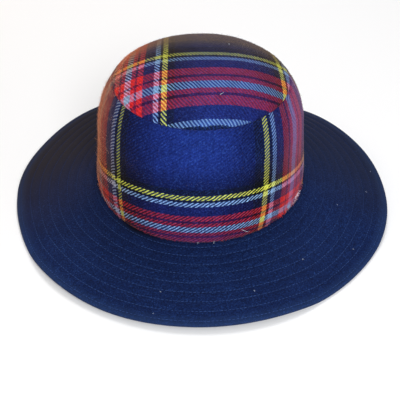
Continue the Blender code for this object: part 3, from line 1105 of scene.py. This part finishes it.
# %% Yarn ends at the foot
rng = np.random.default_rng(61)
FOOT_ENDS = 900
root, uphill, sideways, normal, counts = band_roots(FOOT_ENDS, 0.004, 0.022)
round_angle = np.arctan2(root[:, 1] / HALF_LENGTH, root[:, 0] / HALF_WIDTH) % TAU
cut_across = hump(round_angle, 5.78, 0.26)
length = rng.uniform(0.0006, 0.0013, FOOT_ENDS) + cut_across * rng.uniform(0.0002, 0.0022, FOOT_ENDS)
forward = unit(normal * 0.75 - uphill * 0.65 - sideways * rng.normal(0.15, 0.35, FOOT_ENDS)[:, None])
yarn_ends = fibre_mesh("foot_yarn_ends", root, forward, uphill, counts, length,
                       rng.uniform(0.00011, 0.00020, FOOT_ENDS), rng.normal(0.0001, 0.00012, FOOT_ENDS),
                       rng.normal(0, 0.0003, FOOT_ENDS), yarn_wool)

# %% Longer yarn ends at the right
def yarn_tuft(name, at, long, thick, down, lean, material):
    """Thick yarn ends at given angles round the foot."""
    count = len(at)
    root, uphill, sideways, normal, counts = band_roots(count, 0.006, 0.05, at)
    forward = unit(normal * 0.55 - uphill * down + sideways * rng.normal(lean, 0.35, count)[:, None])
    return fibre_mesh(name, root, forward, uphill, counts, rng.uniform(0.4, 1.0, count) * long,
                      rng.uniform(0.7, 1.1, count) * thick, rng.normal(0.0001, 0.00015, count),
                      rng.normal(0, 0.0004, count), material)


red_tuft = yarn_tuft("right_yarn_ends", rng.uniform(5.50, 6.05, 120), 0.0036, 0.00032, 0.8, -0.35, yarn_wool)
pale_tuft = yarn_tuft("right_pale_yarn_ends", rng.normal(5.80, 0.06, 30), 0.0030, 0.00056, 0.40, 0.5, pale_yarn)

# %% [markdown]
# Fibres on the left side are tinted tan as painted warm rim light, and at the edge of that side they
# stand in line and make a soft orange rim of painted light. They are long, thin and curled.

# %% Fibres in painted warm light on the left
def warm_rim_fibres(name, roots, toward):
    return lying_fibres(name, roots, rng.normal(toward, 0.6, len(roots[0])), (0.0015, 0.0046),
                        (0.000028, 0.000044), 0.00045, 0.0011, warm_rim_wool)


at = LEFT + np.clip(rng.normal(0.14, 0.17, 3800), -0.12, 0.60)
band_fluff = warm_rim_fibres("side_band_tan_fibres", band_roots(len(at), 0.01, 0.98, at), math.pi / 2)
at = LEFT - 0.10 + np.clip(rng.normal(0, 0.30, 700), -0.7, 0.6)
tip_fluff = warm_rim_fibres("tip_tan_fibres", tip_roots(len(at), 0.80, 0.20, at), 0.0)

# %% [markdown]
# A dark hat shows every speck of lint. Each speck here is a small clump of five short pale fibres, and
# one longer hair lies near the foot of the crown and one on the tip. Their places are shares of the way
# from the crown to the rim, up the band, or from the tip's middle to its seam, with an angle round the hat.

# %% Lint
CLUMP = 5


def lint(name, spots, surface, upward):
    """Clumps of pale fibres at (share, angle, length in millimetres) on a surface."""
    share, angle, size = (np.repeat(column, CLUMP) for column in np.array(spots).T)
    count, up = len(share), upward(share, angle)
    east = unit(np.cross(up, np.broadcast_to([0.0, 1.0, 0.0], up.shape)))
    heading = rng.uniform(0, TAU, count)[:, None]
    forward = east * np.cos(heading) + np.cross(up, east) * np.sin(heading)
    return fibre_mesh(name, surface(share, angle) + up * ROOT_DEPTH, forward, up, np.zeros((count, 2)),
                      size / 1000 * rng.uniform(0.6, 1.0, count),
                      rng.uniform(0.00006, 0.00009, count), rng.uniform(0.0002, 0.0005, count),
                      rng.normal(0, 0.0004, count), pale_lint)


BRIM_LINT = [(0.64, 4.52, 1.0), (0.90, 4.52, 0.9), (0.505, 5.367, 1.1), (0.665, 4.992, 0.8),
             (0.785, 5.655, 0.9), (0.89, 0.087, 0.9), (0.755, 6.152, 0.8), (0.43, 5.934, 0.8)]
BAND_LINT = [(0.016, 4.835, 1.8), (0.016, 4.704, 1.8)]
TIP_LINT = [(0.435, 0.768, 0.8), (0.82, 5.315, 1.1)]


def lifted(surface, upward, height):
    """A surface that lies this much higher."""
    return lambda share, angle: surface(share, angle) + upward(share, angle) * height


brim_lint = lint("brim_lint", BRIM_LINT, lifted(brim_under, brim_normal, FELT), brim_normal)
band_lint = lint("band_lint", BAND_LINT, lifted(band_point, band_normal, 0.0010), band_normal)
tip_lint = lint("tip_lint", TIP_LINT, tip_point, tip_normal)

# %% Stray hairs
def stray_hair(name, start, end, surface, upward, thick, bend):
    """One hair between two places of a surface."""
    start, end = np.array(start)[:, None], np.array(end)[:, None]
    root, tail = (lifted(surface, upward, 0.0008)(*place) for place in (start, end))
    return fibre_mesh(name, root, unit(tail - root), upward(*start), np.zeros((1, 2)),
                      np.linalg.norm(tail - root, axis=-1), np.array([thick]), np.array([0.0004]),
                      np.array([bend]), pale_lint)


hair = stray_hair("band_stray_hair", (0.095, 5.079), (0.030, 5.149), band_point, band_normal, 0.00016, 0.0012)
tip_hair = stray_hair("tip_stray_hair", (0.690, 5.000), (0.668, 5.070), tip_point, tip_normal, 0.00014, -0.0005)

# %% [markdown]
# Every piece now rides on the hat's one body, and each of the three cloths stands for the plain solid
# that it covers, which is hidden.

# %% Ride and replace
for piece in (tip, side_band, brim_piece, top_stitches, under_stitches, band_nap, tip_nap, yarn_ends, red_tuft,
              pale_tuft, band_fluff, tip_fluff, brim_lint, band_lint, hair, tip_lint, tip_hair):
    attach(piece, "root")
for piece, node, finish in ((tip, "crown_tip", "tip_tartan"), (side_band, "crown_side_band", "band_tartan"),
                            (brim_piece, "brim", "brim_felt")):
    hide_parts(node)
